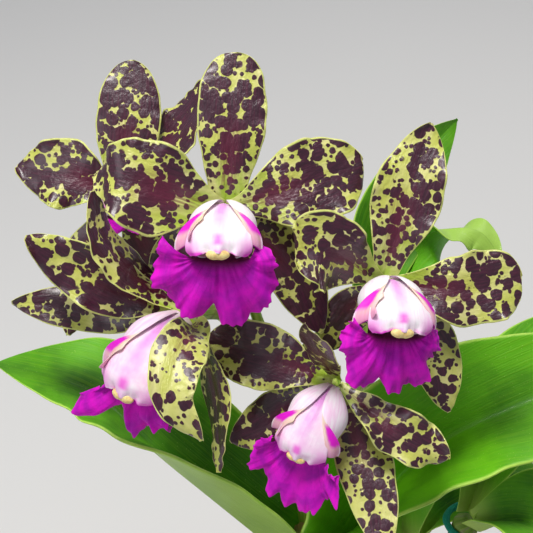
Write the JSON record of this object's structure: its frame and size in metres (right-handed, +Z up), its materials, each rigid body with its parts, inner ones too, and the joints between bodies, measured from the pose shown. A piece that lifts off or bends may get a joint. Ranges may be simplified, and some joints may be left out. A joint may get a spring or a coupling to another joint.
{
  "type": "potted cattleya orchid",
  "caption": "Bifoliate cattleya orchid in bloom: leathery paired leaves on slender canes, a spray of spotted flowers with ruffled magenta lips, in a round clay pot.",
  "frame": {"origin": "middle of the pot's flat underside", "axes": "+Z up; -Y towards the side from which the spray of blooms is seen, +X to that viewer's right"},
  "size_m": [0.254, 0.1729, 0.4694],
  "materials": {
    "terracotta": "unglazed matt fired clay",
    "bark": "rough dry bark chips",
    "rhizome": "dull green-brown creeping stem, pale roots",
    "cane": "satin green cane under papery skin",
    "dry_sheath": "papery, translucent, dry",
    "leaf": "thick leathery leaf, soft gloss, pale margin",
    "soft_tie": "soft matt tie",
    "spotted_tepal": "waxy gloss, maroon blotches on yellow-green",
    "column_white": "waxy white, flushed pink",
    "lobe_white": "waxy white with magenta corners",
    "lip_magenta": "velvety magenta",
    "green_stem": "smooth light green"
  },
  "bodies": {
    "root": {"pot": "terracotta", "bark": "bark", "rhizome_and_roots": "rhizome", "cane_lead": "cane", "cane_back": "cane", "cane_right": "cane", "cane_short": "cane", "cane_old": "cane", "flower_sheath": "dry_sheath", "leaf_lead_left": "leaf", "leaf_lead_right": "leaf", "leaf_back_up": "leaf", "leaf_back_right": "leaf", "leaf_right_up": "leaf", "leaf_right_front": "leaf", "leaf_short_left": "leaf", "leaf_short_right": "leaf", "cane_tie": "soft_tie", "bloom_a_tepals": "spotted_tepal", "bloom_a_column": "column_white", "bloom_a_side_lobes": "lobe_white", "bloom_a_apron": "lip_magenta", "bloom_b_tepals": "spotted_tepal", "bloom_b_column": "column_white", "bloom_b_side_lobes": "lobe_white", "bloom_b_apron": "lip_magenta", "bloom_c_tepals": "spotted_tepal", "bloom_c_column": "column_white", "bloom_c_side_lobes": "lobe_white", "bloom_c_apron": "lip_magenta", "bloom_d_tepals": "spotted_tepal", "bloom_d_column": "column_white", "bloom_d_side_lobes": "lobe_white", "bloom_d_apron": "lip_magenta", "bloom_e_tepals": "spotted_tepal", "bloom_e_column": "column_white", "bloom_e_side_lobes": "lobe_white", "bloom_e_apron": "lip_magenta", "flower_stem": "green_stem"}
  },
  "joints": []
}
